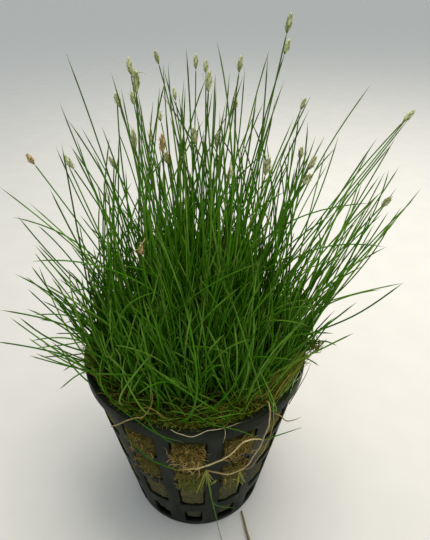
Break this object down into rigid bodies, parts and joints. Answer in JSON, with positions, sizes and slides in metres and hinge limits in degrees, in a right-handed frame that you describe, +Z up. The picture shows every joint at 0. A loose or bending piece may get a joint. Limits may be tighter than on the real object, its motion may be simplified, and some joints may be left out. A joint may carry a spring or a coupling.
{
  "type": "potted dwarf hairgrass",
  "caption": "Tufts of fine round grass blades with small flower spikelets, rooted in a rockwool plug in a conical slotted net pot, with runners over the rim.",
  "frame": {"origin": "middle of the pot's underside, on the surface that the pot stands on", "axes": "+Z up along the pot's axis, -Y towards the side that the picture shows, +X to the picture's right"},
  "size_m": [0.0843, 0.0669, 0.1154],
  "materials": {
    "pot_plastic": "dark grey-green moulded plastic, satin, lightly scratched",
    "rockwool": "damp yellow-brown mineral wool",
    "thatch": "matted old leaf bases and moss, olive to brown",
    "leaf": "living round grass blades, mid green, soft sheen",
    "root": "pale tan roots and runners",
    "dead_stem": "dry brown stem"
  },
  "bodies": {
    "root": {"net_pot": "pot_plastic", "rockwool_plug": "rockwool", "thatch_mat": "thatch", "root_mat_front_upper": "root", "root_mat_front_lower": "root", "root_mat_right_upper": "root", "root_mat_right_lower": "root", "root_mat_left_upper": "root", "root_mat_left_lower": "root", "runner_front": "root", "runner_right": "root", "runner_left": "root", "rim_root": "root", "table_stem": "dead_stem", "hairgrass_tuft_01": "leaf", "hairgrass_tuft_02": "leaf", "hairgrass_tuft_03": "leaf", "hairgrass_tuft_04": "leaf", "hairgrass_tuft_05": "leaf", "hairgrass_tuft_06": "leaf", "hairgrass_tuft_07": "leaf", "hairgrass_tuft_08": "leaf", "hairgrass_tuft_09": "leaf", "hairgrass_tuft_10": "leaf", "hairgrass_tuft_11": "leaf", "hairgrass_tuft_12": "leaf", "hairgrass_tuft_13": "leaf", "hairgrass_tuft_14": "leaf", "hairgrass_tuft_15": "leaf", "hairgrass_tuft_16": "leaf", "hairgrass_tuft_17": "leaf", "hairgrass_tuft_18": "leaf", "hairgrass_tuft_19": "leaf", "hairgrass_tuft_20": "leaf", "hairgrass_tuft_21": "leaf", "hairgrass_tuft_22": "leaf", "hairgrass_tuft_23": "leaf", "hairgrass_tuft_24": "leaf", "hairgrass_tuft_25": "leaf", "hairgrass_tuft_26": "leaf", "hairgrass_tuft_27": "leaf", "hairgrass_tuft_28": "leaf", "hairgrass_tuft_29": "leaf", "hairgrass_tuft_30": "leaf"}
  },
  "joints": []
}
